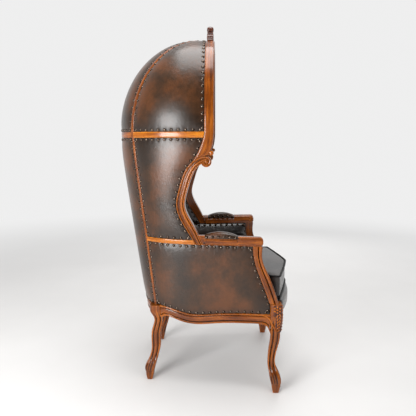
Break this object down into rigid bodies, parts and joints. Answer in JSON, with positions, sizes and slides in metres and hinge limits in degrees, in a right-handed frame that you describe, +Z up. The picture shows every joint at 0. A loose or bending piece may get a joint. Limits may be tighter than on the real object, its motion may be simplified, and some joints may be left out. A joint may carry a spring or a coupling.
{
  "type": "hall porter chair",
  "caption": "Hooded porter's armchair with a domed leather shell, nailed show-wood bands, scrolled arms, cabriole legs and a loose seat cushion.",
  "frame": {"origin": "on the floor, at the bottom centre of the chair's bounding box, midway between its sides", "axes": "+Z up, the sitter faces -Y, +X is at the sitter's left hand"},
  "size_m": [0.688, 0.805, 1.63],
  "materials": {
    "polished_mahogany": "french polished",
    "frame_wood": "raw beech",
    "antiqued_leather": "glossy antiqued dark brown hide",
    "inside_leather": "semi-gloss near-black brown hide",
    "cushion_leather": "semi-gloss near-black brown hide over a soft filling",
    "jute_webbing": "woven jute",
    "black_cambric": "plain weave"
  },
  "bodies": {
    "chair": {"front_post_right": "polished_mahogany", "front_post_left": "polished_mahogany", "wing_rail_right": "polished_mahogany", "wing_rail_left": "polished_mahogany", "hood_rib_right": "polished_mahogany", "hood_rib_left": "polished_mahogany", "back_stile_right": "polished_mahogany", "back_stile_left": "polished_mahogany", "side_band_right": "polished_mahogany", "side_band_left": "polished_mahogany", "arm_band_right": "polished_mahogany", "arm_band_left": "polished_mahogany", "arm_rail_right": "polished_mahogany", "arm_rail_left": "polished_mahogany", "arm_support_right": "polished_mahogany", "arm_support_left": "polished_mahogany", "front_leg_right": "polished_mahogany", "front_leg_left": "polished_mahogany", "rear_leg_right": "polished_mahogany", "rear_leg_left": "polished_mahogany", "side_rail_right": "polished_mahogany", "side_rail_left": "polished_mahogany", "front_hoop": "polished_mahogany", "crest": "polished_mahogany", "back_band": "polished_mahogany", "rear_rail": "polished_mahogany", "front_rail": "polished_mahogany", "front_corner_block_right": "frame_wood", "front_corner_block_left": "frame_wood", "rear_corner_block_right": "frame_wood", "rear_corner_block_left": "frame_wood", "arm_tack_rail_right": "frame_wood", "arm_tack_rail_left": "frame_wood", "back_tack_rail": "frame_wood", "hood_side_leather_right": "antiqued_leather", "hood_side_leather_left": "antiqued_leather", "wing_leather_right": "antiqued_leather", "wing_leather_left": "antiqued_leather", "arm_leather_right": "antiqued_leather", "arm_leather_left": "antiqued_leather", "hood_back_leather": "antiqued_leather", "back_leather": "antiqued_leather", "wing_pad_right": "inside_leather", "wing_pad_left": "inside_leather", "arm_pad_right": "inside_leather", "arm_pad_left": "inside_leather", "manchette_right": "inside_leather", "manchette_left": "inside_leather", "hood_side_lining_right": "inside_leather", "hood_side_lining_left": "inside_leather", "back_pad": "inside_leather", "hood_back_lining": "inside_leather", "seat_deck": "inside_leather", "seat_webbing": "jute_webbing", "dust_cover": "black_cambric"},
    "cushion": {"seat_cushion": "cushion_leather"}
  },
  "joints": [
    {"name": "cushion_slide", "type": "slide", "parent": "chair", "child": "cushion", "axis": [0, -1, 0], "range_m": [0, 0.6]}
  ]
}
